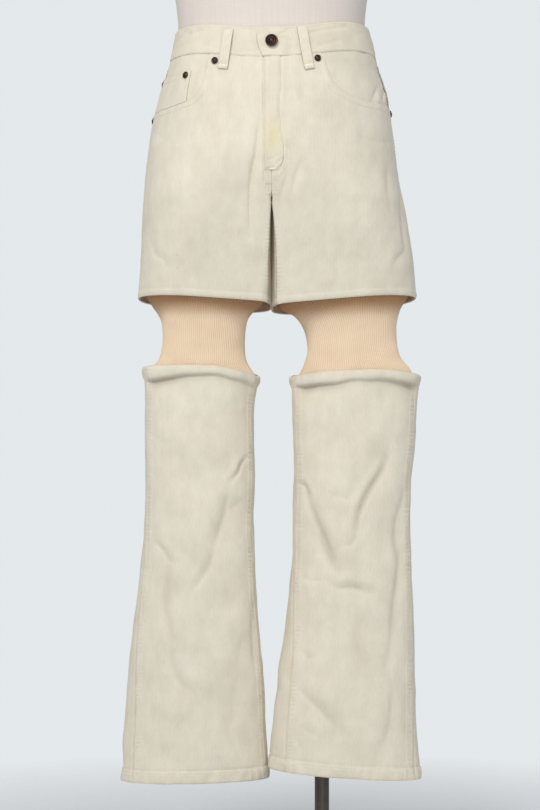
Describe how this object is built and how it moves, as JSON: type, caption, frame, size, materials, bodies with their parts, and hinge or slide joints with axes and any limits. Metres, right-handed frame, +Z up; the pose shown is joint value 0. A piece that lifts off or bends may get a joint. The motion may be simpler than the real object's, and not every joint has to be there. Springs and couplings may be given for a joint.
{
  "type": "flared trousers with rib knit knee inserts on a limbless dress form",
  "caption": "Cream five-pocket flared trousers with beige rib knit knee inserts, worn on a limbless linen form with an off-centre pole and a round base.",
  "frame": {"origin": "centre of the round base's underside, on the floor", "axes": "+Z up; the front of the trousers faces -Y and the wearer's left leg is at +X"},
  "size_m": [0.42, 0.42, 1.3405],
  "materials": {
    "cream_cloth": "matt fine-wale cotton",
    "beige_knit": "matt rib knit",
    "dark_copper": "antiqued copper",
    "linen": "matt linen over a hard form",
    "dark_metal": "dark semi-gloss"
  },
  "bodies": {
    "root": {"back_left": "cream_cloth", "back_pocket_left": "cream_cloth", "back_pocket_right": "cream_cloth", "back_right": "cream_cloth", "belt_loop_back": "cream_cloth", "belt_loop_front_left": "cream_cloth", "belt_loop_front_right": "cream_cloth", "belt_loop_side_left": "cream_cloth", "belt_loop_side_right": "cream_cloth", "calf_back_left": "cream_cloth", "calf_back_right": "cream_cloth", "calf_front_left": "cream_cloth", "calf_front_right": "cream_cloth", "coin_pocket": "cream_cloth", "fly": "cream_cloth", "form_base": "dark_metal", "form_body": "linen", "form_hub": "dark_metal", "form_pole": "dark_metal", "form_socket": "dark_metal", "front_left": "cream_cloth", "front_right": "cream_cloth", "knit_left": "beige_knit", "knit_right": "beige_knit", "pocket_facing_left": "cream_cloth", "pocket_facing_right": "cream_cloth", "rivet_coin_inner": "dark_copper", "rivet_coin_outer": "dark_copper", "rivet_corner_left": "dark_copper", "rivet_corner_right": "dark_copper", "rivet_top_left": "dark_copper", "rivet_top_right": "dark_copper", "waist_button": "dark_copper", "waistband": "cream_cloth", "yoke_left": "cream_cloth", "yoke_right": "cream_cloth"}
  },
  "joints": []
}
